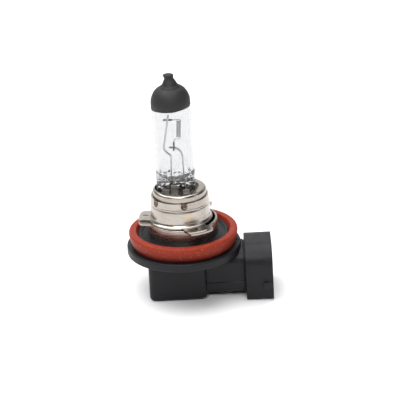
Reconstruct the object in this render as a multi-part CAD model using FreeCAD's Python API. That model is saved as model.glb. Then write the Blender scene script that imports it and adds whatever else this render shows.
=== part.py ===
import FreeCAD, Part
import math
import os
from FreeCAD import Placement, Rotation, Vector

# Headlight bulb with a right-angle connector, in millimetres.
# Origin: axis of the locating collar in the reference plane, which is the
# underside of the three lugs. +Z runs along the bulb to the glass tip,
# +X points out of the connector shroud, Y completes the frame.

os.makedirs("parts", exist_ok=True)

UP = Vector(0, 0, 1)

# ---- driving dimensions -------------------------------------------------
SHEET = 0.43                 # pressed steel sheet

COLLAR_R = 9.5               # locating collar, 19 mm across
COLLAR_WALL = 0.5
COLLAR_RIM_Z = 0.45
COLLAR_BOTTOM_Z = -6.5
COLLAR_HOLE_R = 4.6          # hole in its floor for the leads

LUG_TIP_R = 12.1             # collar lugs
LUG_AZIMUTHS = (178.0, -63.0, 65.0)
LUG_BASE_HALF = 4.3
LUG_TIP_HALF = 3.0

SLEEVE_X = -0.5              # sleeve is set off-axis when the bulb is focused
SLEEVE_R = 8.13
SLEEVE_TOP_R = 7.85
SLEEVE_TOP_Z = 7.72
SLEEVE_FOOT_R = 8.72
SLEEVE_FOOT_Z = 0.98         # upper face of the foot and its tabs
GROOVE_Z = (5.15, 5.95)      # shallow groove rolled round the sleeve
GROOVE_DEPTH = 0.11
TAB_TIP_R = 11.95
TAB_AZIMUTHS = (171.0, -69.0, 57.0)
TAB_BASE_HALF = 3.6
TAB_TIP_HALF = 2.6

RING_X = -0.45               # clamp ring
RING_R = 7.36
RING_TOP_Z = 9.70
RING_BOTTOM_Z = 2.4
OPENING_X = -1.17            # opening for the capsule, off the ring's centre
OPENING_R = 6.04

CAPSULE_X = -1.13            # capsule axis where it meets the reference plane
CAPSULE_LEAN = -0.86         # degrees about Y; the top leans away from the connector
TUBE_R = 5.5
TUBE_WALL = 0.95
TUBE_SHOULDER_Z = 15.2       # tube starts above this
PINCH_HALF = 1.7             # half thickness of the flat pinch
PANEL_DEPTH = 0.3            # sunk panel on each face of the pinch
PINCH_TOP_Z = 11.4
PINCH_BOTTOM_Z = 1.6
CAP_EDGE_Z = 33.55           # lower edge of the black coating on the axis
CAP_EDGE_TILT = 3.1          # degrees; the coating reaches lower on the side away from the connector
CAP_THICKNESS = 0.1

COIL_R = 0.52                # filament coil, centre line
COIL_WIRE_R = 0.13
COIL_TURNS = 11
COIL_BOTTOM = Vector(0.14, 0, 24.5)
COIL_TOP_Z = 29.0
LEAD_R = 0.24
TAIL_SLEEVE_R = 0.27
LEAD_Y = -LEAD_R - TAIL_SLEEVE_R   # leads pass in front of the sleeves they are welded to

HUB_R = 12.5                 # plastic hub inside the seal
HUB_TOP_Z = -3.5
SEAL_TOP_Z = -2.6
SEAL_TOP_R = 14.96
SEAL_LIP_R = 12.9
SEAL_FOOT_R = 14.1
FLANGE_R = 15.63
FLANGE_TOP_Z = -6.8
FLANGE_THICK = 2.3
FLANGE_BOTTOM_Z = FLANGE_TOP_Z - FLANGE_THICK

BLOCK_X = (-10.1, 5.75)      # body block below the flange
BLOCK_HALF_Y = 7.5
BLOCK_BOTTOM_Z = -21.35
NECK_HALF_Y = 6.0            # neck from the block to the connector
NECK_TOP_Z = -8.1
NECK_BOTTOM_Z = -20.1
NECK_BAND_Z = -17.0          # the neck's lower band stands proud below this
WAIST_X = 16.2               # narrow waist between neck and shroud
SHROUD_X = (16.6, 24.0)
SHROUD_HALF_Y = 8.25
SHROUD_Z = (-21.95, -6.8)
SHROUD_TOP_R = 5.5           # rounding of its upper edges
SHROUD_WALL = 1.3
SHROUD_BACK = 1.4

BLADE_THICK = 0.8
BLADE_WIDTH = 2.8
BLADE_Y = 3.15
BLADE_Z = -14.9
BLADE_TIP_X = 22.4
LEG_X = (-3.4, -0.6)         # upright leg of each terminal, inside the block
LEG_TOP_Z = -10.4

CHAMBER_X = (-7.6, 3.2)      # chamber in the block for leads and terminals
CHAMBER_HALF_Y = 5.1
CHAMBER_TOP_Z = -9.4
COVER_THICK = 1.2
COVER_LEDGE = 1.1


# ---- helpers ------------------------------------------------------------
def box(x, y, z):
    """Box between three (low, high) pairs."""
    return Part.makeBox(x[1] - x[0], y[1] - y[0], z[1] - z[0], Vector(x[0], y[0], z[0]))


def cylinder(radius, z_low, z_high, x=0.0, y=0.0):
    return Part.makeCylinder(radius, z_high - z_low, Vector(x, y, z_low))


def outline(path):
    """Closed wire in the XZ plane from (x, z) points; (mid, end) pairs are arcs."""
    edges = []
    here = Vector(path[0][0], 0, path[0][1])
    first = here
    for step in path[1:]:
        if isinstance(step[0], tuple):
            middle = Vector(step[0][0], 0, step[0][1])
            there = Vector(step[1][0], 0, step[1][1])
            edges.append(Part.Arc(here, middle, there).toShape())
        else:
            there = Vector(step[0], 0, step[1])
            edges.append(Part.makeLine(here, there))
        here = there
    if here.distanceToPoint(first) > 1e-6:
        edges.append(Part.makeLine(here, first))
    return Part.Wire(edges)


def revolved(path, x=0.0):
    """Solid of revolution about the vertical through (x, 0)."""
    solid = Part.Face(outline(path)).revolve(Vector(), UP, 360)
    solid.translate(Vector(x, 0, 0))
    return solid


def turned(shape, azimuth):
    copy = shape.copy()
    copy.rotate(Vector(), UP, azimuth)
    return copy


def rod(start, end, radius):
    return Part.makeCylinder(radius, (end - start).Length, start, end - start)


def bent_wire(points, radius):
    """Round wire through the points, with ball joints at the bends."""
    wire = rod(points[0], points[1], radius)
    for start, end in zip(points[1:-1], points[2:]):
        wire = wire.fuse([rod(start, end, radius), Part.makeSphere(radius, start)])
    return wire.removeSplitter()


def vertical_edges(shape, keep):
    """Edges along Z whose middle passes the test."""
    found = []
    for edge in shape.Edges:
        ends = edge.Vertexes
        if len(ends) == 2 and abs(ends[0].X - ends[1].X) + abs(ends[0].Y - ends[1].Y) < 1e-6:
            if keep(ends[0].Point):
                found.append(edge)
    return found


def edges_along_x(shape, keep):
    found = []
    for edge in shape.Edges:
        ends = edge.Vertexes
        if len(ends) == 2 and abs(ends[0].Z - ends[1].Z) + abs(ends[0].Y - ends[1].Y) < 1e-6:
            if keep(ends[0].Point):
                found.append(edge)
    return found


def tapered_tongue(base_half, tip_half, r_in, r_tip, z_low, z_high, corner):
    """Flat tongue along +X: wide at its root, with a round tip on radius r_tip."""
    root = [Vector(r_in, -base_half, z_low), Vector(r_tip + 1, -tip_half, z_low),
            Vector(r_tip + 1, tip_half, z_low), Vector(r_in, base_half, z_low)]
    face = Part.Face(Part.makePolygon(root + [root[0]]))
    tongue = face.extrude(Vector(0, 0, z_high - z_low)).common(cylinder(r_tip, z_low, z_high))
    tips = vertical_edges(tongue, lambda p: math.hypot(p.x, p.y) > r_tip - 0.1)
    return tongue.makeFillet(corner, tips)


def export(name, shape):
    shape.exportStep("parts/" + name + ".step")


# ---- glass capsule ------------------------------------------------------
def capsule_profile(inset):
    """Half outline of dome and pip, moved in by the inset."""
    dome = [(5.39, 34.3), (5.28, 35.5), (4.98, 36.5), (4.4, 37.4), (3.34, 38.4),
            (2.45, 39.1), (1.93, 40.0), (1.5, 41.0), (1.27, 41.6), (1.42, 42.3)]
    points = [Vector(r - inset, 0, z - inset) for r, z in dome]
    curve = Part.BSplineCurve()
    curve.interpolate(points)
    foot = Vector(TUBE_R - CAP_THICKNESS / 2 - inset / 2, 0, 30.0)
    top = points[-1] + Vector(-0.25, 0, 0.4)
    base = Vector(foot.x, 0, 0.5)
    edges = [Part.makeLine(Vector(0, 0, 0.5), base), Part.makeLine(base, foot),
             Part.makeLine(foot, points[0]), curve.toShape(), Part.makeLine(points[-1], top),
             Part.makeLine(top, Vector(0, 0, top.z)),
             Part.makeLine(Vector(0, 0, top.z), Vector(0, 0, 0.5))]
    return Part.Face(Part.Wire(edges)).revolve(Vector(), UP, 360)


def pressed_flat(half, shoulder, top):
    """Slab along X whose half thickness opens from the pinch to the full tube."""
    wide = TUBE_R + 1
    path = [(-half, PINCH_BOTTOM_Z), (half, PINCH_BOTTOM_Z), (half, PINCH_TOP_Z),
            ((0.78 * TUBE_R, shoulder - 2.5), (TUBE_R + 0.1, shoulder)), (wide, shoulder + 2), (wide, top),
            (-wide, top), (-wide, shoulder + 2), (-TUBE_R - 0.1, shoulder),
            ((-0.78 * TUBE_R, shoulder - 2.5), (-half, PINCH_TOP_Z))]
    slab = Part.Face(outline(path)).extrude(Vector(0, 4 * TUBE_R, 0))
    slab.translate(Vector(0, -2 * TUBE_R, 0))
    return turned(slab, 90)


def capsule_cavity():
    r = TUBE_R - TUBE_WALL
    path = [(0, 13.3), (2.0, 13.4), ((3.9, 14.1), (r, 16.2)), (r, 33.6),
            ((r * 0.84, 36.0), (1.9, 37.4)), (0, 37.8)]
    return revolved(path)


def lean(shape):
    copy = shape.copy()
    copy.Placement = Placement(Vector(CAPSULE_X, 0, 0), Rotation(Vector(0, 1, 0), CAPSULE_LEAN)).multiply(
        copy.Placement)
    return copy


def glass_blank():
    """Glass without its cavity and seals, in the capsule's own upright frame."""
    blank = capsule_profile(CAP_THICKNESS).common(pressed_flat(PINCH_HALF, TUBE_SHOULDER_Z, 50))
    panel = box((-3.9, 3.9), (PINCH_HALF - PANEL_DEPTH, PINCH_HALF + 1), (PINCH_BOTTOM_Z, PINCH_TOP_Z - 1))
    return blank.cut([panel, turned(panel, 180)])


def anti_glare_cap():
    shell = capsule_profile(0).cut(glass_blank())
    below = box((-20, 20), (-20, 20), (-20, CAP_EDGE_Z))
    below.rotate(Vector(0, 0, CAP_EDGE_Z), Vector(0, 1, 0), -CAP_EDGE_TILT)
    shell = shell.cut(below)
    return lean(max(shell.Solids, key=lambda solid: solid.Volume))


# Inner wires, in the plane through the axis and the connector.
LONG_LEAD = [Vector(-2.50, LEAD_Y, 30.9), Vector(-2.69, LEAD_Y, 29.8), Vector(-4.07, LEAD_Y, 22.0),
             Vector(-4.02, LEAD_Y, 21.1), Vector(-3.60, LEAD_Y, 20.5), Vector(-2.42, LEAD_Y, 19.5),
             Vector(-2.28, LEAD_Y, 18.9), Vector(-2.50, 0, 13.0), Vector(-2.56, 0, 9.2)]
SHORT_LEAD = [Vector(-2.40, LEAD_Y, 21.74), Vector(-1.0, LEAD_Y, 21.6), Vector(0.0, LEAD_Y, 21.0),
              Vector(0.62, LEAD_Y, 19.9), Vector(0.84, LEAD_Y, 18.8), Vector(1.0, 0, 13.0),
              Vector(1.02, 0, 9.2)]
FOIL_HALF = 1.15
FOIL_Z = (3.9, 9.6)
FOIL_THICK = 0.1
UPPER_SLEEVE = (Vector(-3.95, 0, 29.55), Vector(-1.45, 0, 29.45))
LOWER_SLEEVE = (Vector(-1.44, 0, 20.5), Vector(-1.30, 0, 23.2))


def lead(points):
    return bent_wire(points, LEAD_R).fuse(Part.makeSphere(LEAD_R * 1.35, points[0])).removeSplitter()


def foil(x):
    return box((x - FOIL_HALF, x + FOIL_HALF), (-FOIL_THICK / 2, FOIL_THICK / 2), FOIL_Z)


def outer_lead(x, y):
    """Lead from the foil through the pinch to the leg of its terminal."""
    side = math.copysign(BLADE_THICK / 2 + LEAD_R, -y)
    route = [Vector(x, 0, FOIL_Z[0] + 0.8), Vector(x, 0, -4.0), Vector(x, y * 0.4, -7.0),
             Vector(-2.0, y + side, -10.6), Vector(-2.0, y + side, -13.2)]
    return bent_wire(route, LEAD_R)


def filament():
    top = Vector(COIL_BOTTOM.x, 0, COIL_TOP_Z)
    helix = Part.makeHelix((COIL_TOP_Z - COIL_BOTTOM.z) / COIL_TURNS, COIL_TOP_Z - COIL_BOTTOM.z, COIL_R)
    circle = Part.Wire(Part.Circle(Vector(COIL_R, 0, 0), Vector(0, 1, 0), COIL_WIRE_R).toShape())
    coil = Part.Wire(helix.Edges).makePipeShell([circle], True, True)
    coil.translate(COIL_BOTTOM)
    coil = Part.Solid(coil) if coil.ShapeType != "Solid" else coil
    low_end = COIL_BOTTOM + Vector(COIL_R, 0, 0)
    high_end = top + Vector(COIL_R, 0, 0)
    low_tail = bent_wire([low_end, low_end + Vector(-0.2, -0.3, -0.4), Vector(-0.9, 0, 23.85),
                          LOWER_SLEEVE[1] + Vector(0, 0, 0.2), LOWER_SLEEVE[1], tail_end(LOWER_SLEEVE)],
                         COIL_WIRE_R)
    high_tail = bent_wire([high_end, high_end + Vector(0.0, 0, 0.25), high_end + Vector(-0.2, 0, 0.44),
                           UPPER_SLEEVE[1], tail_end(UPPER_SLEEVE)], COIL_WIRE_R)
    return coil.fuse([low_tail, high_tail])


def tail_end(ends):
    """Where a filament tail ends, inside the sleeve that it enters at the second end."""
    return ends[0] + (ends[1] - ends[0]) * 0.15


def tail_sleeve(ends):
    return rod(ends[0], ends[1], TAIL_SLEEVE_R).cut(rod(ends[0], ends[1], COIL_WIRE_R))


# ---- metal mount --------------------------------------------------------
def clamp_ring():
    """Cup open below, with a rounded shoulder and an off-centre opening on top."""
    inner = RING_R - SHEET
    top, turn = RING_TOP_Z, 0.75
    bend = turn * (1 - math.sqrt(0.5))
    path = [(RING_R, RING_BOTTOM_Z), (RING_R, top - turn),
            ((RING_R - bend, top - bend), (RING_R - turn, top)), (0, top), (0, top - SHEET),
            (inner - 0.35, top - SHEET), (inner, top - SHEET - 0.35), (inner, RING_BOTTOM_Z)]
    ring = revolved(path, RING_X).cut(cylinder(OPENING_R, top - 2 * SHEET, top + 1, OPENING_X))
    return ring


def capsule_clamp():
    """Plate inside the clamp ring with spring fingers that grip the pinch."""
    plate_z = 5.6
    seat_r = RING_R - SHEET
    plate = cylinder(seat_r, plate_z, plate_z + 0.3, RING_X)
    skirt = cylinder(seat_r, plate_z - 2.2, plate_z, RING_X).cut(
        cylinder(seat_r - 0.3, plate_z - 2.2, plate_z, RING_X))
    slot = box((-6.7, 4.3), (-2.2, 2.2), (plate_z - 3, plate_z + 1))
    clamp = plate.fuse(skirt).cut(slot)
    grip = PINCH_HALF - PANEL_DEPTH + 0.02
    for x, tip_z in ((-4.1, 9.9), (-1.87, 11.2), (1.4, 9.6)):
        finger = [(grip + 0.9, plate_z), (grip + 0.3, plate_z), (grip, 7.4), (grip + 0.7, tip_z),
                  (grip + 0.98, tip_z - 0.1), (grip + 0.32, 7.4), (grip + 0.6, plate_z + 0.3),
                  (grip + 0.9, plate_z + 0.3)]
        blade = Part.Face(outline(finger)).extrude(Vector(0, 1.7, 0))
        blade.translate(Vector(0, -0.85, 0))
        for azimuth in (90, -90):
            one = turned(blade, azimuth)
            one.translate(Vector(x, 0, 0))
            clamp = clamp.fuse(one)
    return clamp.removeSplitter()


def sleeve_body():
    wall = SHEET
    low, high = GROOVE_Z
    middle = (low + high) / 2
    groove_r = SLEEVE_R - 0.06
    path = [(SLEEVE_TOP_R, SLEEVE_TOP_Z), (groove_r, high),
            ((groove_r - GROOVE_DEPTH, middle), (groove_r, low)), (SLEEVE_R, low - 0.25), (SLEEVE_R, 2.1),
            ((SLEEVE_R + 0.18, 1.35), (SLEEVE_FOOT_R, SLEEVE_FOOT_Z)), (SLEEVE_FOOT_R, SLEEVE_FOOT_Z - wall),
            (SLEEVE_R - 0.1, SLEEVE_FOOT_Z - wall), (SLEEVE_R - wall, 1.3), (SLEEVE_R - wall, 4.9),
            (SLEEVE_TOP_R - wall, SLEEVE_TOP_Z)]
    body = revolved(path, SLEEVE_X)
    for azimuth in TAB_AZIMUTHS:
        tab = tapered_tongue(TAB_BASE_HALF, TAB_TIP_HALF, 7.0, TAB_TIP_R,
                             SLEEVE_FOOT_Z - wall, SLEEVE_FOOT_Z, 1.3)
        tab = turned(tab, azimuth).cut(cylinder(SLEEVE_R - 0.1, 0, 2, SLEEVE_X))
        body = body.fuse(tab)
    return body.removeSplitter()


def collar_body():
    inner = COLLAR_R - COLLAR_WALL
    path = [(COLLAR_R, COLLAR_BOTTOM_Z), (COLLAR_R, COLLAR_RIM_Z - 0.15),
            ((COLLAR_R - 0.05, COLLAR_RIM_Z - 0.05), (COLLAR_R - 0.15, COLLAR_RIM_Z)),
            (inner, COLLAR_RIM_Z), (inner, COLLAR_BOTTOM_Z + COLLAR_WALL),
            (COLLAR_HOLE_R, COLLAR_BOTTOM_Z + COLLAR_WALL), (COLLAR_HOLE_R, COLLAR_BOTTOM_Z)]
    body = revolved(path)
    for azimuth in LUG_AZIMUTHS:
        lug = tapered_tongue(LUG_BASE_HALF, LUG_TIP_HALF, 8.0, LUG_TIP_R, 0, COLLAR_RIM_Z, 0.9)
        body = body.fuse(turned(lug, azimuth).cut(cylinder(inner, -1, 1)))
    return body.removeSplitter()


RING_WELD_AZIMUTHS = (-82.0, -146.0, 34.0, 98.0)


def ring_weld_plugs():
    """U-shaped weld marks, flat side up at the sleeve's upper edge."""
    half, height = 0.95, 1.8
    arc_z = SLEEVE_TOP_Z - height + half
    path = [(-half, SLEEVE_TOP_Z), (half, SLEEVE_TOP_Z), (half, arc_z), ((0, arc_z - half), (-half, arc_z))]
    plugs = []
    for azimuth in RING_WELD_AZIMUTHS:
        plug = Part.Face(outline(path)).extrude(Vector(0, 20, 0))
        plug = turned(plug, azimuth - 90)
        plug.translate(Vector(SLEEVE_X, 0, 0))
        plugs.append(plug)
    return plugs


def tab_weld_plugs():
    """Short radial weld bars through each tab down to its lug."""
    bar = box((9.4, 10.9), (-0.2, 0.2), (COLLAR_RIM_Z, SLEEVE_FOOT_Z + 0.03))
    return [turned(bar, azimuth) for azimuth in TAB_AZIMUTHS]


# ---- plastic base -------------------------------------------------------
def hub():
    """Stepped hub with a groove that keeps the seal ring."""
    path = [(0, FLANGE_TOP_Z), (HUB_R, FLANGE_TOP_Z), (HUB_R, -5.7), (HUB_R - 0.35, -5.35),
            (HUB_R - 0.35, -4.85), (HUB_R, -4.5), (HUB_R, HUB_TOP_Z - 0.25), (HUB_R - 0.25, HUB_TOP_Z),
            (HUB_R - 1.0, HUB_TOP_Z), (HUB_R - 1.15, HUB_TOP_Z - 0.2), (0, HUB_TOP_Z - 0.2)]
    return revolved(path)


def flange():
    edge = 0.35
    bend = edge * (1 - math.sqrt(0.5))
    path = [(0, FLANGE_BOTTOM_Z), (FLANGE_R - edge, FLANGE_BOTTOM_Z),
            ((FLANGE_R - bend, FLANGE_BOTTOM_Z + bend), (FLANGE_R, FLANGE_BOTTOM_Z + edge)),
            (FLANGE_R, FLANGE_TOP_Z - edge),
            ((FLANGE_R - bend, FLANGE_TOP_Z - bend), (FLANGE_R - edge, FLANGE_TOP_Z)), (0, FLANGE_TOP_Z)]
    rib = box((14.3, 15.2), (-0.25, 0.25), (FLANGE_TOP_Z - 0.1, FLANGE_TOP_Z + 0.18))
    return revolved(path).fuse(rib)


def block():
    body = box(BLOCK_X, (-BLOCK_HALF_Y, BLOCK_HALF_Y), (BLOCK_BOTTOM_Z, FLANGE_BOTTOM_Z))
    body = body.makeFillet(1.5, vertical_edges(body, lambda p: True))
    low = [edge for edge in body.Edges if edge.BoundBox.ZMax < BLOCK_BOTTOM_Z + 0.01]
    return body.makeFillet(1.3, low)


def neck():
    top_r, low_r = 4.0, 1.4
    upper = box((BLOCK_X[1] - 3, WAIST_X), (-NECK_HALF_Y, NECK_HALF_Y), (NECK_BOTTOM_Z, NECK_TOP_Z))
    upper = upper.makeFillet(top_r, edges_along_x(upper, lambda p: p.z > -10))
    upper = upper.makeFillet(low_r, edges_along_x(upper, lambda p: p.z < -20))
    proud = 0.3
    band = box((BLOCK_X[1] - 3, WAIST_X), (-NECK_HALF_Y - proud, NECK_HALF_Y + proud),
               (NECK_BOTTOM_Z, NECK_BAND_Z))
    band = band.makeFillet(low_r, edges_along_x(band, lambda p: p.z < -20))
    band = band.makeFillet(0.25, edges_along_x(band, lambda p: p.z > NECK_BAND_Z - 0.01))
    inset = 0.3
    waist = box((WAIST_X - 1, SHROUD_X[0] + 1), (inset - NECK_HALF_Y, NECK_HALF_Y - inset),
                (NECK_BOTTOM_Z + 1.2, NECK_TOP_Z - inset))
    waist = waist.makeFillet(top_r - 0.5, edges_along_x(waist, lambda p: p.z > -10))
    foot = box((WAIST_X - 1, SHROUD_X[0] + 1), (-NECK_HALF_Y, NECK_HALF_Y),
               (NECK_BOTTOM_Z + 0.4, NECK_BAND_Z))
    return upper.fuse([band, waist, foot])


def rounded_bar(x, half_y, z, top_r, low_r):
    """Bar along X with rounder upper edges than lower ones."""
    bar = box(x, (-half_y, half_y), z)
    bar = bar.makeFillet(top_r, edges_along_x(bar, lambda p: p.z > z[1] - 0.01))
    return bar.makeFillet(low_r, edges_along_x(bar, lambda p: p.z < z[0] + 0.01))


def shroud():
    low, high = SHROUD_Z
    wall = SHROUD_WALL
    outer = rounded_bar(SHROUD_X, SHROUD_HALF_Y, SHROUD_Z, SHROUD_TOP_R, 1.1)
    hollow = rounded_bar((SHROUD_X[0] + SHROUD_BACK, SHROUD_X[1] + 1), SHROUD_HALF_Y - wall,
                         (low + wall, high - wall), SHROUD_TOP_R - wall, 0.6)
    key_z = (high - wall - 0.5, high - wall + 0.3)
    keys = [box((SHROUD_X[0] + 1, SHROUD_X[1] - 0.8), (y - 0.5, y + 0.5), key_z) for y in (-2.6, 2.6)]
    return outer.cut(hollow).fuse(keys)


def latch_nub():
    """Wedge on the front wall that a plug's latch snaps behind."""
    y = -SHROUD_HALF_Y
    ramp = [Vector(21.3, y, 0), Vector(21.3, y - 0.75, 0), Vector(21.9, y - 0.75, 0),
            Vector(24.0, y - 0.12, 0), Vector(24.0, y, 0)]
    wedge = Part.Face(Part.makePolygon(ramp + [ramp[0]])).extrude(Vector(0, 0, 2.1))
    wedge.translate(Vector(0, 0, -18.7))
    rail = box((17.0, 19.6), (y - 0.12, y + 0.3), (-17.35, -17.1))
    return wedge.fuse(rail)


def cover_blank(clearance):
    x = (CHAMBER_X[0] - COVER_LEDGE + clearance, CHAMBER_X[1] + COVER_LEDGE - clearance)
    half_y = CHAMBER_HALF_Y + COVER_LEDGE - clearance
    plate = box(x, (-half_y, half_y), (BLOCK_BOTTOM_Z, BLOCK_BOTTOM_Z + COVER_THICK))
    return plate.makeFillet(1.2 - clearance, vertical_edges(plate, lambda p: True))


def rear_cover():
    """Closing plate with a finger recess and a locating rim."""
    plate = cover_blank(0.04)
    recess = box((-5.0, 0.6), (-3.0, 3.0), (BLOCK_BOTTOM_Z, BLOCK_BOTTOM_Z + 0.5))
    recess = recess.makeFillet(1.0, vertical_edges(recess, lambda p: True))
    top = BLOCK_BOTTOM_Z + COVER_THICK
    outer, inner = [box((CHAMBER_X[0] + gap, CHAMBER_X[1] - gap),
                        (gap - CHAMBER_HALF_Y, CHAMBER_HALF_Y - gap), (top, top + 1.0))
                    for gap in (0.1, 1.0)]
    return plate.cut(recess).fuse(outer.cut(inner)).removeSplitter()


def terminal(y):
    """Contact blade with an upright leg that its outer lead is welded to."""
    half = BLADE_THICK / 2
    sides = (y - half, y + half)
    low, high = BLADE_Z - BLADE_WIDTH / 2, BLADE_Z + BLADE_WIDTH / 2
    blade = box((LEG_X[0], BLADE_TIP_X), sides, (low, high))
    tip = [edge for edge in blade.Edges if edge.BoundBox.XMin > BLADE_TIP_X - 0.01]
    blade = blade.makeChamfer(0.25, tip)
    return blade.fuse(box(LEG_X, sides, (high, LEG_TOP_Z))).removeSplitter()


def terminal_seal(blades):
    """Compound poured round the blades where they enter the neck."""
    pool = box((1.4, CHAMBER_X[1]), (-CHAMBER_HALF_Y, CHAMBER_HALF_Y), (-17.4, -12.6))
    return pool.cut(blades)


def base_housing(blades):
    body = flange().fuse([hub(), block(), neck(), shroud(), latch_nub()])
    well = cylinder(COLLAR_R, COLLAR_BOTTOM_Z, 0)
    bore = cylinder(COLLAR_HOLE_R, CHAMBER_TOP_Z - 1, COLLAR_BOTTOM_Z)
    chamber = box(CHAMBER_X, (-CHAMBER_HALF_Y, CHAMBER_HALF_Y), (BLOCK_BOTTOM_Z, CHAMBER_TOP_Z))
    return body.cut([well, bore, chamber, cover_blank(0)] + blades).removeSplitter()


def seal_ring():
    """Ring with a rounded upper rim, a leaning flank and a bead that sits in the hub's groove."""
    r = HUB_R
    path = [(r, FLANGE_TOP_Z), (SEAL_FOOT_R - 0.3, FLANGE_TOP_Z),
            ((SEAL_FOOT_R - 0.06, FLANGE_TOP_Z + 0.1), (SEAL_FOOT_R + 0.05, FLANGE_TOP_Z + 0.35)),
            ((SEAL_TOP_R - 0.22, -4.9), (SEAL_TOP_R, SEAL_TOP_Z - 0.75)),
            ((SEAL_TOP_R - 0.2, SEAL_TOP_Z - 0.2), (SEAL_TOP_R - 0.75, SEAL_TOP_Z)),
            (SEAL_LIP_R + 0.3, SEAL_TOP_Z),
            ((SEAL_LIP_R + 0.06, SEAL_TOP_Z - 0.08), (SEAL_LIP_R - 0.02, SEAL_TOP_Z - 0.3)),
            (r, HUB_TOP_Z - 0.25), (r, -4.5), (r - 0.35, -4.85), (r - 0.35, -5.35), (r, -5.7)]
    return revolved(path)


# ---- build --------------------------------------------------------------
long_lead = lead(LONG_LEAD)
short_lead = lead(SHORT_LEAD)
foil_long = foil(LONG_LEAD[-1].x)
foil_short = foil(SHORT_LEAD[-1].x)
outer_long = outer_lead(LONG_LEAD[-1].x, BLADE_Y).cut(foil_long)
outer_short = outer_lead(SHORT_LEAD[-1].x, -BLADE_Y).cut(foil_short)
export("long_lead", long_lead.cut(foil_long))
export("short_lead", short_lead.cut(foil_short))
export("foil_long", foil_long)
export("foil_short", foil_short)
export("outer_lead_long", outer_long)
export("outer_lead_short", outer_short)
export("filament", filament())
export("upper_tail_sleeve", tail_sleeve(UPPER_SLEEVE))
export("lower_tail_sleeve", tail_sleeve(LOWER_SLEEVE))

seals = [long_lead, short_lead, foil_long, foil_short, outer_long, outer_short]
export("glass_envelope", lean(glass_blank().cut(capsule_cavity())).cut(seals))
export("anti_glare_cap", anti_glare_cap())

ring = clamp_ring()
sleeve = sleeve_body()
export("clamp_ring", ring)
export("capsule_clamp", capsule_clamp())
ring_plugs = ring_weld_plugs()
export("ring_welds", Part.makeCompound([sleeve.common(plug) for plug in ring_plugs]))
tab_plugs = tab_weld_plugs()
export("tab_welds", Part.makeCompound(tab_plugs))
export("outer_sleeve", sleeve.cut(ring_plugs + tab_plugs))

terminals = [terminal(-BLADE_Y), terminal(BLADE_Y)]
export("collar", collar_body())
export("terminal_front", terminals[0])
export("terminal_back", terminals[1])
export("terminal_seal", terminal_seal(terminals))
export("rear_cover", rear_cover())
export("base_housing", base_housing(terminals))
export("seal_ring", seal_ring())
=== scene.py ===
import math

import bpy
from mathutils import Matrix, Vector

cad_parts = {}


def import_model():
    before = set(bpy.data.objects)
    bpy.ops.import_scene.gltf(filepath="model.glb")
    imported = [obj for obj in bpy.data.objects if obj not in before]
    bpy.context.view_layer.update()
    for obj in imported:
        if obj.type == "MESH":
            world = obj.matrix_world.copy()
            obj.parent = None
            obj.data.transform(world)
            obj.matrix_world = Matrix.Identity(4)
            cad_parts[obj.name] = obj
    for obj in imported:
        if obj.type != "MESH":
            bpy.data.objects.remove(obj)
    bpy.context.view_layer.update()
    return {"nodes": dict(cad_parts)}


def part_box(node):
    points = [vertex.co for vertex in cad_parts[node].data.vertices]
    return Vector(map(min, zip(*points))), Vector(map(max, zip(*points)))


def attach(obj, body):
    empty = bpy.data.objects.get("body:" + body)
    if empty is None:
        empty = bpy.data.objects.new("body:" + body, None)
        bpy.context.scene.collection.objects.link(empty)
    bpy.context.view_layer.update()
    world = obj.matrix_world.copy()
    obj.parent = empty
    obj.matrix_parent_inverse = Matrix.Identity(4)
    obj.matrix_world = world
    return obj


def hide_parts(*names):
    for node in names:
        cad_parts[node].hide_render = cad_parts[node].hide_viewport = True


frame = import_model()
nodes = frame["nodes"]

# Lengths are in millimetres; MM turns them into Blender's metres.
MM = 0.001

CAPSULE_X = -1.13            # capsule axis in the reference plane
CAPSULE_LEAN = math.radians(-0.86)
TUBE_R = 5.4
TUBE_WALL = 0.95
PINCH_HALF = 1.7             # half thickness of the flat pinch
PINCH_Z = (1.7, 11.3)
SHOULDER_Z = 14.9            # the tube is round above this
BORE_FLOOR_Z = 12.9
BORE_BEND = 2.2              # height over which the bore's floor rounds into its wall
ROUND = 20                   # a half thickness so large that a ring stays round
CAP_EDGE = (33.55, 0.054, -0.008)    # height on the axis, slope along X and along Y
COAT_FROM_Z = 32             # rings of the glass above this are narrower, to fit inside the coating
COAT_DEPTH = 0.1             # by this much in radius

LEAD_R = 0.27                # inner leads above their bends
LEG_R = 0.20                 # and below them
TAIL_R = 0.27                # sleeves on the filament's tails
COIL_R = 0.52                # filament coil, centre line
COIL_WIRE_R = 0.12
COIL_TURNS = 15
COIL_ENDS = (Vector((0.02, 0, 24.5)), Vector((0.26, 0, 29.0)))

COVER_RIM = 0.2              # about the width of the block's flat rim round the rear cover
SHROUD_DEPTH = 7.4           # along X
NOISE_MEAN = 0.5


# ---- node helpers -------------------------------------------------------
def shader_tree(name):
    """A new material with its node tree and its principled shader."""
    material = bpy.data.materials.new(name)
    material.use_nodes = True
    tree = material.node_tree
    return material, tree, tree.nodes["Principled BSDF"]


def add(tree, kind, inputs=(), **settings):
    """A node with its settings, and inputs given as values or as sockets to link."""
    made = tree.nodes.new(kind)
    for key, value in settings.items():
        setattr(made, key, value)
    for key, value in dict(inputs).items():
        if isinstance(value, bpy.types.NodeSocket):
            tree.links.new(value, made.inputs[key])
        else:
            made.inputs[key].default_value = value
    return made


def place(tree):
    """Position on the object in millimetres."""
    where = add(tree, "ShaderNodeTexCoord")
    return add(tree, "ShaderNodeVectorMath", {0: where.outputs["Object"], "Scale": 1 / MM},
               operation="SCALE").outputs["Vector"]


def noise(tree, at, scale, detail=3.0, roughness=0.5):
    """Cloudy noise from 0 to 1; the scale is in features per millimetre."""
    return add(tree, "ShaderNodeTexNoise", {"Vector": at, "Scale": scale, "Detail": detail,
                                            "Roughness": roughness}).outputs["Fac"]


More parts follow.
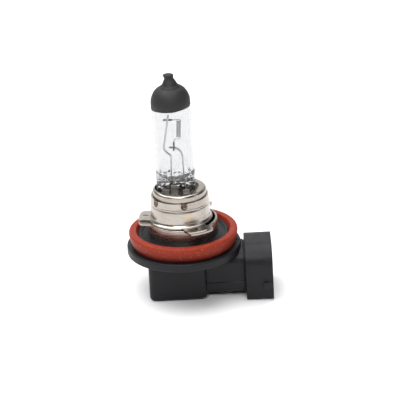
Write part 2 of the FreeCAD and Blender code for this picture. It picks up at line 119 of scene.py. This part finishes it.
def ramp(tree, factor, low, high, to_low=0.0, to_high=1.0):
    """The factor, stretched from (low, high) to (to_low, to_high) and clamped."""
    return add(tree, "ShaderNodeMapRange", {"Value": factor, "From Min": low, "From Max": high,
                                            "To Min": to_low, "To Max": to_high}).outputs["Result"]


def blend(tree, factor, first, second):
    """Colour mix of two colours or sockets."""
    mixed = add(tree, "ShaderNodeMix", data_type="RGBA")
    for socket, value in zip((mixed.inputs[0], mixed.inputs[6], mixed.inputs[7]), (factor, first, second)):
        if isinstance(value, bpy.types.NodeSocket):
            tree.links.new(value, socket)
        else:
            socket.default_value = value
    return mixed.outputs[2]


def bump(tree, shader, height, strength, distance_mm):
    """Relief from a height of 0 to 1 that stands for this distance."""
    made = add(tree, "ShaderNodeBump",
               {"Height": height, "Strength": strength, "Distance": distance_mm * MM})
    tree.links.new(made.outputs["Normal"], shader.inputs["Normal"])
    return made


def link(tree, value, shader, name):
    """Drive the shader's named socket from another socket."""
    tree.links.new(value, shader.inputs[name])


def math_of(tree, operation, first, second):
    """Result of the operation on two values or sockets."""
    return add(tree, "ShaderNodeMath", {0: first, 1: second}, operation=operation).outputs[0]


def height_of(tree, at):
    """Z of a position."""
    return add(tree, "ShaderNodeSeparateXYZ", {"Vector": at}).outputs["Z"]


def near(tree, at, spot, low, high, strength):
    """Ragged patch round a spot: full strength within low, none beyond high, both in millimetres."""
    away = add(tree, "ShaderNodeVectorMath", {0: at, 1: spot}, operation="DISTANCE").outputs["Value"]
    ragged = math_of(tree, "ADD", away, noise(tree, at, 1.4, 4.0, 0.6))
    return ramp(tree, ragged, low + NOISE_MEAN, high + NOISE_MEAN, strength, 0.0)


# ---- materials ----------------------------------------------------------
def quartz(name, tint):
    """Clear glass, faintly clouded, with ripples where the foot was pressed."""
    material, tree, shader = shader_tree(name)
    at = place(tree)
    pressed = ramp(tree, height_of(tree, at), SHOULDER_Z + 0.4, SHOULDER_Z - 1.5)
    ripple = math_of(tree, "MULTIPLY", noise(tree, at, 0.6, 1.5, 0.5), pressed)
    bump(tree, shader, ripple, 1.0, 1.3)
    shader.inputs["Transmission Weight"].default_value = 1.0
    shader.inputs["IOR"].default_value = 1.459
    cloud = noise(tree, at, 0.3)
    link(tree, blend(tree, cloud, tint, [c * 0.985 for c in tint[:3]] + [1]), shader, "Base Color")
    link(tree, ramp(tree, cloud, 0.4, 0.7, 0.0, 0.02), shader, "Roughness")
    return material


def black_coating():
    """Fired matt coating with a fine grain."""
    material, tree, shader = shader_tree("black_coating")
    at = place(tree)
    mottle = noise(tree, at, 0.9, 5.0, 0.6)
    grain = noise(tree, at, 7.0, 4.0, 0.65)
    colour = blend(tree, ramp(tree, mottle, 0.35, 0.7), (0.009, 0.009, 0.010, 1), (0.0145, 0.014, 0.0145, 1))
    link(tree, colour, shader, "Base Color")
    link(tree, ramp(tree, mottle, 0.3, 0.7, 0.55, 0.72), shader, "Roughness")
    bump(tree, shader, grain, 0.4, 0.05)
    return material


def steel(name, bright, dull, stain_at=None):
    """Pressed stainless sheet: cloudy, faintly drawn, with a heat stain where one is asked for."""
    material, tree, shader = shader_tree(name)
    at = place(tree)
    cloud = noise(tree, at, 0.30, 4.0, 0.55)
    drawn = add(tree, "ShaderNodeMapping", {"Vector": at, "Scale": (0.12, 0.12, 1.6)}).outputs["Vector"]
    scuffs = noise(tree, drawn, 1.3, 3.0, 0.55)
    colour = blend(tree, ramp(tree, cloud, 0.35, 0.65), bright, dull)
    if stain_at:
        colour = blend(tree, near(tree, at, stain_at, 0.2, 2.4, 0.6), colour, (0.62, 0.47, 0.33, 1))
    link(tree, colour, shader, "Base Color")
    shader.inputs["Metallic"].default_value = 1.0
    link(tree, ramp(tree, scuffs, 0.3, 0.75, 0.20, 0.36), shader, "Roughness")
    bump(tree, shader, scuffs, 0.18, 0.10)
    return material


def weld_metal(name, burnt, bare):
    """Weld nugget, rough and patchy between its burnt and its bare colour."""
    material, tree, shader = shader_tree(name)
    at = place(tree)
    spots = noise(tree, at, 1.6, 3.0, 0.6)
    link(tree, blend(tree, ramp(tree, spots, 0.46, 0.68), burnt, bare), shader, "Base Color")
    shader.inputs["Metallic"].default_value = 1.0
    link(tree, ramp(tree, spots, 0.3, 0.7, 0.35, 0.6), shader, "Roughness")
    bump(tree, shader, spots, 0.5, 0.08)
    return material


def wire_metal(name, light, dark, smooth, rough, burnt_at=None):
    """Wire or thin sheet with cloudy tarnish, darkened round a weld if there is one."""
    material, tree, shader = shader_tree(name)
    at = place(tree)
    streak = noise(tree, at, 2.0, 4.0, 0.6)
    colour = blend(tree, ramp(tree, streak, 0.35, 0.65), light, dark)
    if burnt_at:
        colour = blend(tree, near(tree, at, burnt_at, 0.6, 1.3, 0.9), colour, (0.12, 0.115, 0.11, 1))
    link(tree, colour, shader, "Base Color")
    shader.inputs["Metallic"].default_value = 1.0
    link(tree, ramp(tree, streak, 0.3, 0.7, smooth, rough), shader, "Roughness")
    bump(tree, shader, noise(tree, at, 15.0), 0.2, 0.02)
    return material


def silicone():
    """Matt red rubber with specks of dust, and painted shade that darkens it towards its foot."""
    material, tree, shader = shader_tree("silicone")
    at = place(tree)
    cloud = noise(tree, at, 0.45, 4.0, 0.6)
    rubber = blend(tree, ramp(tree, cloud, 0.35, 0.7), (0.24, 0.021, 0.0064, 1), (0.28, 0.028, 0.0095, 1))
    # Painted shade: the rubber is blended to a dark red towards its foot, where the flange shades it.
    painted_foot_shade = ramp(tree, height_of(tree, at), -3.4, -6.6, 0.0, 0.85)
    rubber = blend(tree, painted_foot_shade, rubber, (0.10, 0.009, 0.004, 1))
    dust = ramp(tree, noise(tree, at, 3.2, 2.0, 0.5), 0.67, 0.72, 0.0, 0.55)
    link(tree, blend(tree, dust, rubber, (0.60, 0.42, 0.36, 1)), shader, "Base Color")
    shader.inputs["Specular IOR Level"].default_value = 0.2
    link(tree, ramp(tree, cloud, 0.3, 0.7, 0.45, 0.6), shader, "Roughness")
    bump(tree, shader, noise(tree, at, 6.0, 4.0, 0.6), 0.25, 0.05)
    return material


def black_plastic():
    """Moulded plastic with a fine grain, softened edges and a little dust."""
    material, tree, shader = shader_tree("black_plastic")
    at = place(tree)
    cloud = noise(tree, at, 0.25, 4.0, 0.55)
    plain = blend(tree, ramp(tree, cloud, 0.35, 0.7),
                  (0.0032, 0.0032, 0.0052, 1), (0.0055, 0.0055, 0.0082, 1))
    dust = ramp(tree, noise(tree, at, 2.6, 3.0, 0.5), 0.70, 0.78, 0.0, 0.25)
    link(tree, blend(tree, dust, plain, (0.12, 0.115, 0.11, 1)), shader, "Base Color")
    link(tree, ramp(tree, cloud, 0.3, 0.7, 0.42, 0.56), shader, "Roughness")
    shader.inputs["Specular IOR Level"].default_value = 0.32
    soft = add(tree, "ShaderNodeBevel", {"Radius": 0.22 * MM}, samples=4)
    grain = bump(tree, shader, noise(tree, at, 9.0, 4.0, 0.6), 0.3, 0.03)
    tree.links.new(soft.outputs["Normal"], grain.inputs["Normal"])
    return material


def sealant():
    """Poured compound with a soft gloss."""
    material, tree, shader = shader_tree("sealant")
    at = place(tree)
    flow = noise(tree, at, 0.8, 3.0, 0.5)
    link(tree, blend(tree, flow, (0.05, 0.05, 0.055, 1), (0.09, 0.09, 0.10, 1)), shader, "Base Color")
    link(tree, ramp(tree, flow, 0.3, 0.7, 0.2, 0.4), shader, "Roughness")
    return material


def pale_floor():
    """Matt near-white paper."""
    material, tree, shader = shader_tree("pale_floor")
    cloud = noise(tree, place(tree), 0.02)
    link(tree, blend(tree, cloud, (0.88, 0.88, 0.88, 1), (0.90, 0.90, 0.90, 1)), shader, "Base Color")
    shader.inputs["Roughness"].default_value = 0.85
    return material


# ---- mesh helpers ---------------------------------------------------------
def piece(name, verts, faces, material, replaced, inner=None):
    """Smooth mesh that stands for a node of the frame; inner is (material, first face that it covers)."""
    mesh = bpy.data.meshes.new(name)
    mesh.from_pydata([Vector(v) * MM for v in verts], [], faces)
    mesh.materials.append(material)
    if inner:
        inner_material, first_face = inner
        mesh.materials.append(inner_material)
        for polygon in mesh.polygons:
            polygon.material_index = int(polygon.index >= first_face)
    mesh.shade_smooth()
    mesh.update()
    made = bpy.data.objects.new(name, mesh)
    bpy.context.scene.collection.objects.link(made)
    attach(made, "root")
    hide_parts(replaced)


def skin(rings, start=0, inward=False):
    """Faces over rings of equal length, closed at both ends, for points that begin at index start."""
    count = len(rings[0])
    faces = []
    for j in range(len(rings) - 1):
        for i in range(count):
            a, b = start + j * count + i, start + j * count + (i + 1) % count
            faces.append((a, b, b + count, a + count))
    faces.append(tuple(start + i for i in reversed(range(count))))
    faces.append(tuple(start + (len(rings) - 1) * count + i for i in range(count)))
    return [tuple(reversed(face)) for face in faces] if inward else faces


def spread(low, high, count):
    """Evenly spaced values from low to high."""
    return [low + (high - low) * i / (count - 1) for i in range(count)]


def between(table, z):
    """Value at z from (z, value) pairs, in straight stretches."""
    if z <= table[0][0]:
        return table[0][1]
    for (z0, a), (z1, b) in zip(table, table[1:]):
        if z <= z1:
            t = (z - z0) / (z1 - z0)
            return a + (b - a) * t
    return table[-1][1]


def leaned(point):
    """From the capsule's own upright frame to the part's frame."""
    return Matrix.Rotation(CAPSULE_LEAN, 3, "Y") @ Vector(point) + Vector((CAPSULE_X, 0, 0))


def rounded(points, reach, steps=6):
    """The path with each corner replaced by a curve that starts this far from it."""
    points = [Vector(p) for p in points]
    path = [points[0]]
    for before, corner, after in zip(points, points[1:], points[2:]):
        back = before - corner
        ahead = after - corner
        cut = min(reach, back.length * 0.45, ahead.length * 0.45)
        first = corner + back.normalized() * cut
        last = corner + ahead.normalized() * cut
        for t in spread(0, 1, steps):
            path.append(first.lerp(corner, t).lerp(corner.lerp(last, t), t))
    return path + [points[-1]]


def tube_rings(path, radii, sides=14):
    """Rings square to the path, carried along it without twist."""
    heading = (path[1] - path[0]).normalized()
    across = heading.orthogonal().normalized()
    rings = []
    for i, centre in enumerate(path):
        ahead = (path[min(i + 1, len(path) - 1)] - path[max(i - 1, 0)]).normalized()
        across = (across - ahead * across.dot(ahead)).normalized()
        other = ahead.cross(across)
        turns = [2 * math.pi * k / sides for k in range(sides)]
        rings.append([centre + (across * math.cos(a) + other * math.sin(a)) * radii[i] for a in turns])
    return rings


def wire(name, path, radii, material, replaced):
    """Closed round wire along the path."""
    rings = tube_rings(path, radii)
    piece(name, [p for ring in rings for p in ring], skin(rings), material, replaced)


# ---- capsule ----------------------------------------------------------------
# Outline of the glass dome as (height, radius).
DOME = ((30.0, 5.40), (33.4, 5.40), (34.3, 5.39), (35.4, 5.32), (36.2, 5.12), (36.9, 4.82), (37.5, 4.38),
        (38.0, 3.90), (38.4, 3.40), (38.7, 2.90))


def clamped(value, limit, sharpness=7):
    """The value, eased to stay within the limit either way."""
    return value / (1 + abs(value / limit) ** sharpness) ** (1 / sharpness)


def pressed_half(z):
    """Half thickness across Y of the pressed foot, which opens smoothly to the round tube."""
    low, high = PINCH_Z[1], SHOULDER_Z
    if z <= low:
        return PINCH_HALF
    # It ends wider than the tube and goes on widening above, so that the rings there stay round.
    t = min((z - low) / (high - low), 1)
    return PINCH_HALF + (TUBE_R * 1.15 - PINCH_HALF) * t * t * (3 - 2 * t) + max(z - high, 0) * 2


def glass_ring(z, radius, half, count=96):
    """Circle about the capsule's axis, pressed flat across Y to the half thickness."""
    ring = []
    for i in range(count):
        a = 2 * math.pi * i / count
        ring.append(leaned((radius * math.cos(a), clamped(radius * math.sin(a), half), z)))
    return ring


def bore_radius(z):
    """Radius of the bore, which rounds into its floor and closes in again under the dome."""
    full, least = TUBE_R - TUBE_WALL, 0.6
    squareness = 2.4
    dome_from, dome_wall = 33.7, 0.6
    rise = min((z - BORE_FLOOR_Z + 0.02) / BORE_BEND, 1)
    dome = 1 if z < dome_from else between(DOME, z + dome_wall) / TUBE_R
    return max(full * (1 - (1 - rise) ** squareness) ** (1 / squareness) * dome, least)


def glass_radius(z):
    """Outer radius of the glass, a little less where the coating covers it."""
    return between(DOME, z) - (COAT_DEPTH if z > COAT_FROM_Z else 0)


def glass():
    """Quartz tube with its dome, pressed foot and round-bottomed bore."""
    levels = spread(PINCH_Z[0], PINCH_Z[1], 8) + spread(PINCH_Z[1] + 0.12, SHOULDER_Z + 0.6, 26)
    levels += spread(16.4, 33.8, 8) + [z for z, r in DOME if z > 34]
    outer = [glass_ring(z, glass_radius(z), pressed_half(z)) for z in levels]
    levels = spread(BORE_FLOOR_Z, 16.0, 26) + spread(17, 33.6, 8) + [34.6, 35.6, 36.4, 37.0]
    inner = [glass_ring(z, bore_radius(z), ROUND) for z in levels]
    verts = [p for ring in outer + inner for p in ring]
    faces = skin(outer)
    first_inner = len(faces)
    faces += skin(inner, len(outer) * len(outer[0]), inward=True)
    outside = quartz("quartz_outer", (0.610, 0.613, 0.620, 1))
    inside = quartz("quartz_inner", (0.975, 0.976, 0.981, 1))
    piece("glass", verts, faces, outside, "glass_envelope", (inside, first_inner))


# Outline of the black cap as (height, left side, right side): dome, bead round the tip's foot, tip.
CAP_SIDES = (
    (33.0, -5.40, 5.40), (33.9, -5.42, 5.41), (34.9, -5.40, 5.39), (35.8, -5.27, 5.34), (36.5, -5.05, 5.12),
    (37.1, -4.80, 4.90), (37.6, -4.52, 4.60), (38.1, -4.10, 4.25), (38.5, -3.68, 3.85), (38.82, -3.20, 3.45),
    (39.00, -2.80, 3.06), (39.08, -2.56, 2.82), (39.20, -2.53, 2.80), (39.32, -2.46, 2.72),
    (39.42, -2.28, 2.54), (39.6, -2.06, 2.34), (40.0, -1.88, 2.10), (40.4, -1.72, 1.90), (40.8, -1.54, 1.68),
    (41.1, -1.38, 1.48), (41.4, -1.28, 1.30), (41.7, -1.31, 1.22), (42.0, -1.44, 1.24), (42.3, -1.58, 1.26),
    (42.5, -1.62, 1.22), (42.62, -1.50, 1.08), (42.68, -1.25, 0.8))


def growing(z, start, reach):
    """0 up to the start, then evenly up to 1 over the reach."""
    return max(0, min((z - start) / reach, 1))


def anti_glare_cap():
    """Coating over dome and sealed tip, which is flattened across Y and a little uneven."""
    count = 112
    lefts = [(z, left) for z, left, right in CAP_SIDES]
    rights = [(z, right) for z, left, right in CAP_SIDES]
    edge_z, slope_x, slope_y = CAP_EDGE

    def ring(z, inset=0.0, at_edge=False):
        made = []
        for i in range(count):
            a = 2 * math.pi * i / count
            left, right = between(lefts, z), between(rights, z)
            half, middle = (right - left) / 2 - inset, (right + left) / 2
            flattened = 1 - 0.16 * growing(z, 40.3, 1.2)
            x, y = middle + half * math.cos(a), half * math.sin(a) * flattened
            x += 0.10 * math.sin(3 * a + 1) * growing(z, 39.6, 1.5) * math.sin(a)
            low = edge_z + slope_x * x + slope_y * y + 0.035 * math.sin(5 * a) + 0.02 * math.sin(11 * a + 2)
            made.append(leaned((x, y, low if at_edge else max(z, low + 0.02))))
        return made

    # Three rings lie along the coating's wavy lower edge and give it its thickness.
    edge_at = 33.9
    rings = [ring(edge_at, inset, at_edge=True) for inset in (0.12, 0.06, 0)]
    rings += [ring(z) for z, left, right in CAP_SIDES if z > 34]
    verts = [p for one in rings for p in one]
    # The coating is open below, so the face that closes the first ring is left out.
    *sides, closing, top = skin(rings)
    piece("cap", verts, sides + [top], black_coating(), "anti_glare_cap")


def coil():
    """Filament: close helix, leaning a little, with a tail from each end into its sleeve."""
    low, high = COIL_ENDS
    per_turn = 18
    helix = []
    for k in range(COIL_TURNS * per_turn + 1):
        a = 2 * math.pi * k / per_turn
        centre = low.lerp(high, k / (COIL_TURNS * per_turn))
        helix.append(centre + Vector((COIL_R * math.cos(a), COIL_R * math.sin(a), 0)))
    tail_low = [(-1.33, 0, 22.9), (-1.28, 0, 23.5), (-0.9, 0, 23.9), (0.35, -0.3, 24.1)]
    tail_high = [(high.x + COIL_R, 0, 29.25), (high.x + 0.3, 0, 29.44), (-1.45, 0, 29.45), (-2.0, 0, 29.47)]
    path = rounded(tail_low, 0.3) + helix + rounded(tail_high, 0.2)
    metal = wire_metal("tungsten", (0.86, 0.85, 0.84, 1), (0.70, 0.69, 0.68, 1), 0.3, 0.45)
    wire("coil", path, [COIL_WIRE_R] * len(path), metal, "filament")


def leads():
    """Two inner leads that pass in front of the tails' sleeves and go down into the pressed foot."""
    metal = wire_metal("lead_wire", (0.78, 0.77, 0.75, 1), (0.60, 0.59, 0.57, 1), 0.25, 0.4,
                       burnt_at=(-2.0, -0.5, 21.7))
    y = -LEAD_R - TAIL_R
    long_way = [(-2.50, y, 30.9), (-2.69, y, 29.8), (-4.07, y, 22.0), (-4.02, y, 21.1), (-3.60, y, 20.5),
                (-2.42, y, 19.5), (-2.28, y, 18.9), (-2.50, 0, 13.0), (-2.56, 0, 9.3)]
    short_way = [(-2.40, y, 21.74), (-1.0, y, 21.6), (0.0, y, 21.0), (0.62, y, 19.9), (0.84, y, 18.8),
                 (1.0, 0, 13.0), (1.02, 0, 9.3)]
    radius_at = ((17.5, LEG_R), (19.5, LEAD_R))
    for name, way in (("long_lead", long_way), ("short_lead", short_way)):
        path = rounded(way, 0.9)
        radii = [between(radius_at, point.z) for point in path]
        tip = path[0] + (path[0] - path[1]).normalized() * LEAD_R
        wire(name + "_wire", [tip] + path, [LEAD_R * 0.5] + radii, metal, name)


def tail_sleeves():
    """Short tubes, narrowed at both ends, that hold the filament's tails to the leads."""
    metal = wire_metal("tail_metal", (0.30, 0.29, 0.28, 1), (0.16, 0.155, 0.15, 1), 0.3, 0.5)
    stations = spread(0, 1, 24)
    for name, ends in (("upper_tail_sleeve", ((-3.95, 0, 29.55), (-1.45, 0, 29.45))),
                       ("lower_tail_sleeve", ((-1.44, 0, 20.5), (-1.30, 0, 23.2)))):
        start, end = Vector(ends[0]), Vector(ends[1])
        path = [start.lerp(end, t) for t in stations]
        radii = [TAIL_R * (0.82 + 0.18 * min(1, 6 * t, 6 * (1 - t))) for t in stations]
        wire(name + "_tube", path, radii, metal, name)


glass()
anti_glare_cap()
coil()
leads()
tail_sleeves()


# ---- looks for the frame's own nodes -------------------------------------
def dress(material, *names):
    """Give the material to whole nodes of the frame."""
    for name in names:
        mesh = nodes[name].data
        mesh.materials.clear()
        mesh.materials.append(material)


dress(wire_metal("molybdenum", (0.56, 0.55, 0.53, 1), (0.42, 0.41, 0.39, 1), 0.22, 0.40), "foil_long",
      "foil_short", "outer_lead_long", "outer_lead_short")
dress(steel("pressed_steel", (0.42, 0.381, 0.34, 1), (0.355, 0.32, 0.283, 1)), "clamp_ring", "collar")
dress(steel("stained_steel", (0.48, 0.441, 0.402, 1), (0.42, 0.382, 0.343, 1), stain_at=(1.8, -7.9, 3.6)),
      "outer_sleeve")
dress(wire_metal("spring_steel", (0.80, 0.78, 0.75, 1), (0.48, 0.46, 0.43, 1), 0.4, 0.6), "capsule_clamp")
dress(weld_metal("ring_weld", (0.075, 0.045, 0.028, 1), (0.40, 0.34, 0.28, 1)), "ring_welds")
dress(weld_metal("tab_weld", (0.03, 0.018, 0.012, 1), (0.08, 0.05, 0.035, 1)), "tab_welds")
dress(silicone(), "seal_ring")
dress(black_plastic(), "base_housing", "rear_cover")
dress(wire_metal("tinned_brass", (0.78, 0.75, 0.68, 1), (0.66, 0.62, 0.54, 1), 0.2, 0.36), "terminal_front",
      "terminal_back")
dress(sealant(), "terminal_seal")


# ---- stage ---------------------------------------------------------------
def resting_plane():
    """Point and tilt of the floor, which touches the block's outer rim and the shroud's inner edge."""
    cover_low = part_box("rear_cover")[0]
    housing_low, housing_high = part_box("base_housing")
    block_x = cover_low.x - COVER_RIM * MM
    shroud_x = housing_high.x - SHROUD_DEPTH * MM
    tilt = math.atan2(cover_low.z - housing_low.z, shroud_x - block_x)
    return Vector((block_x, 0, cover_low.z)), tilt


def sweep(point, tilt):
    """Floor that curves up into a backdrop well behind the object; these sizes are in metres."""
    half_width, front, back, bend = 3, -3.0, 1.3, 0.7
    profile = [(front, 0.0), (back, 0.0)]
    profile += [(back + bend * math.sin(a), bend - bend * math.cos(a)) for a in spread(0.08, 1.4, 14)]
    profile.append((2.2, 2.4))
    verts = [(x, y, z) for x in (-half_width, half_width) for y, z in profile]
    count = len(profile)
    faces = [(i, i + count, i + count + 1, i + 1) for i in range(count - 1)]
    mesh = bpy.data.meshes.new("floor")
    mesh.from_pydata(verts, [], faces)
    mesh.shade_smooth()
    mesh.materials.append(pale_floor())
    made = bpy.data.objects.new("floor", mesh)
    made.location = point
    made.rotation_euler = (0, tilt, 0)
    bpy.context.scene.collection.objects.link(made)


def soft_box(name, where, size, power, aim=(0, 0, 0.01)):
    """Rectangular area light that looks at the object; metres and watts."""
    data = bpy.data.lights.new(name, "AREA")
    data.shape = "RECTANGLE"
    data.size, data.size_y = size
    data.energy = power
    lamp = bpy.data.objects.new(name, data)
    lamp.location = where
    lamp.rotation_euler = (Vector(aim) - Vector(where)).to_track_quat("-Z", "Y").to_euler()
    bpy.context.scene.collection.objects.link(lamp)


def camera(elevation, roll, distance, focal, aim_right, aim_up):
    """Camera in front of the object, rolled about its line of sight and aimed a little off the origin."""
    e, r = math.radians(elevation), math.radians(roll)
    forward = Vector((0, math.cos(e), -math.sin(e)))
    right = Vector((math.cos(r), -math.sin(r) * math.sin(e), -math.sin(r) * math.cos(e)))
    up = Vector((math.sin(r), math.cos(r) * math.sin(e), math.cos(r) * math.cos(e)))
    spot = -distance * forward
    look = (aim_right * right + aim_up * up - spot).normalized()
    side = look.cross(up).normalized()
    top = side.cross(look)
    data = bpy.data.cameras.new("camera")
    data.lens = focal
    data.sensor_width = 36
    data.clip_start, data.clip_end = 0.01, 20
    cam = bpy.data.objects.new("camera", data)
    cam.matrix_world = Matrix.Translation(spot) @ Matrix((side, top, -look)).transposed().to_4x4()
    bpy.context.scene.collection.objects.link(cam)
    bpy.context.scene.camera = cam


def world(strength):
    """Even white light from all round."""
    sky = bpy.data.worlds.new("studio")
    sky.use_nodes = True
    sky.node_tree.nodes["Background"].inputs["Color"].default_value = (1, 1, 1, 1)
    sky.node_tree.nodes["Background"].inputs["Strength"].default_value = strength
    bpy.context.scene.world = sky


rest_point, rest_tilt = resting_plane()
sweep(rest_point, rest_tilt)
world(0.08)
soft_box("top_light", (-0.35, 0.2, 1.8), (2.6, 2.6), 73)
soft_box("front_light", (-0.1, -1.25, 1.15), (1.2, 0.5), 12.5)
soft_box("side_light", (1.2, -0.35, 0.55), (0.25, 0.9), 1.3)
camera(elevation=23.7, roll=3.0, distance=0.8, focal=262.1, aim_right=4.772 * MM, aim_up=5.195 * MM)
bpy.context.scene.view_settings.view_transform = "Standard"
